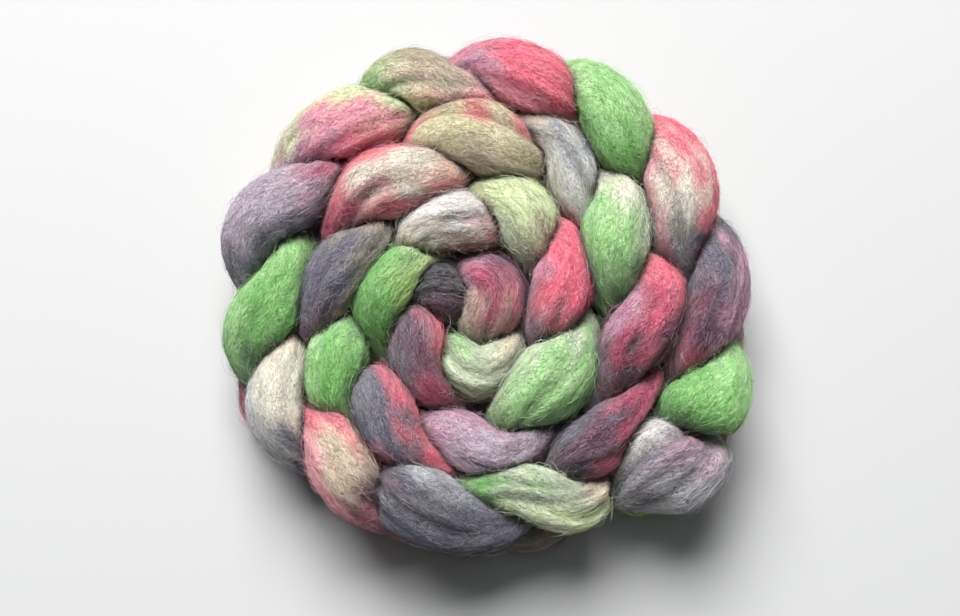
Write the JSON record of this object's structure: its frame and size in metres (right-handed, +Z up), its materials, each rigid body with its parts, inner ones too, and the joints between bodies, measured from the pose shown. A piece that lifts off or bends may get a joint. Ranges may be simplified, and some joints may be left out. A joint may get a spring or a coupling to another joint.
{
  "type": "braid of alpaca roving",
  "caption": "Dyed alpaca roving for spinning or felting, plaited and wound on its edge into a flat round coil.",
  "frame": {"origin": "middle of the bounding box at the underside of the coil", "axes": "+Z up out of the coil's flat upper face, -Y towards the near edge where the plait's outer end lies, +X to the right seen from there"},
  "size_m": [0.2244, 0.2224, 0.0635],
  "materials": {
    "wool": "soft matt combed fibre, dyed in patches of light green, coral pink, cream, lilac grey and plum"
  },
  "bodies": {
    "root": {"coil": "wool"}
  },
  "joints": []
}
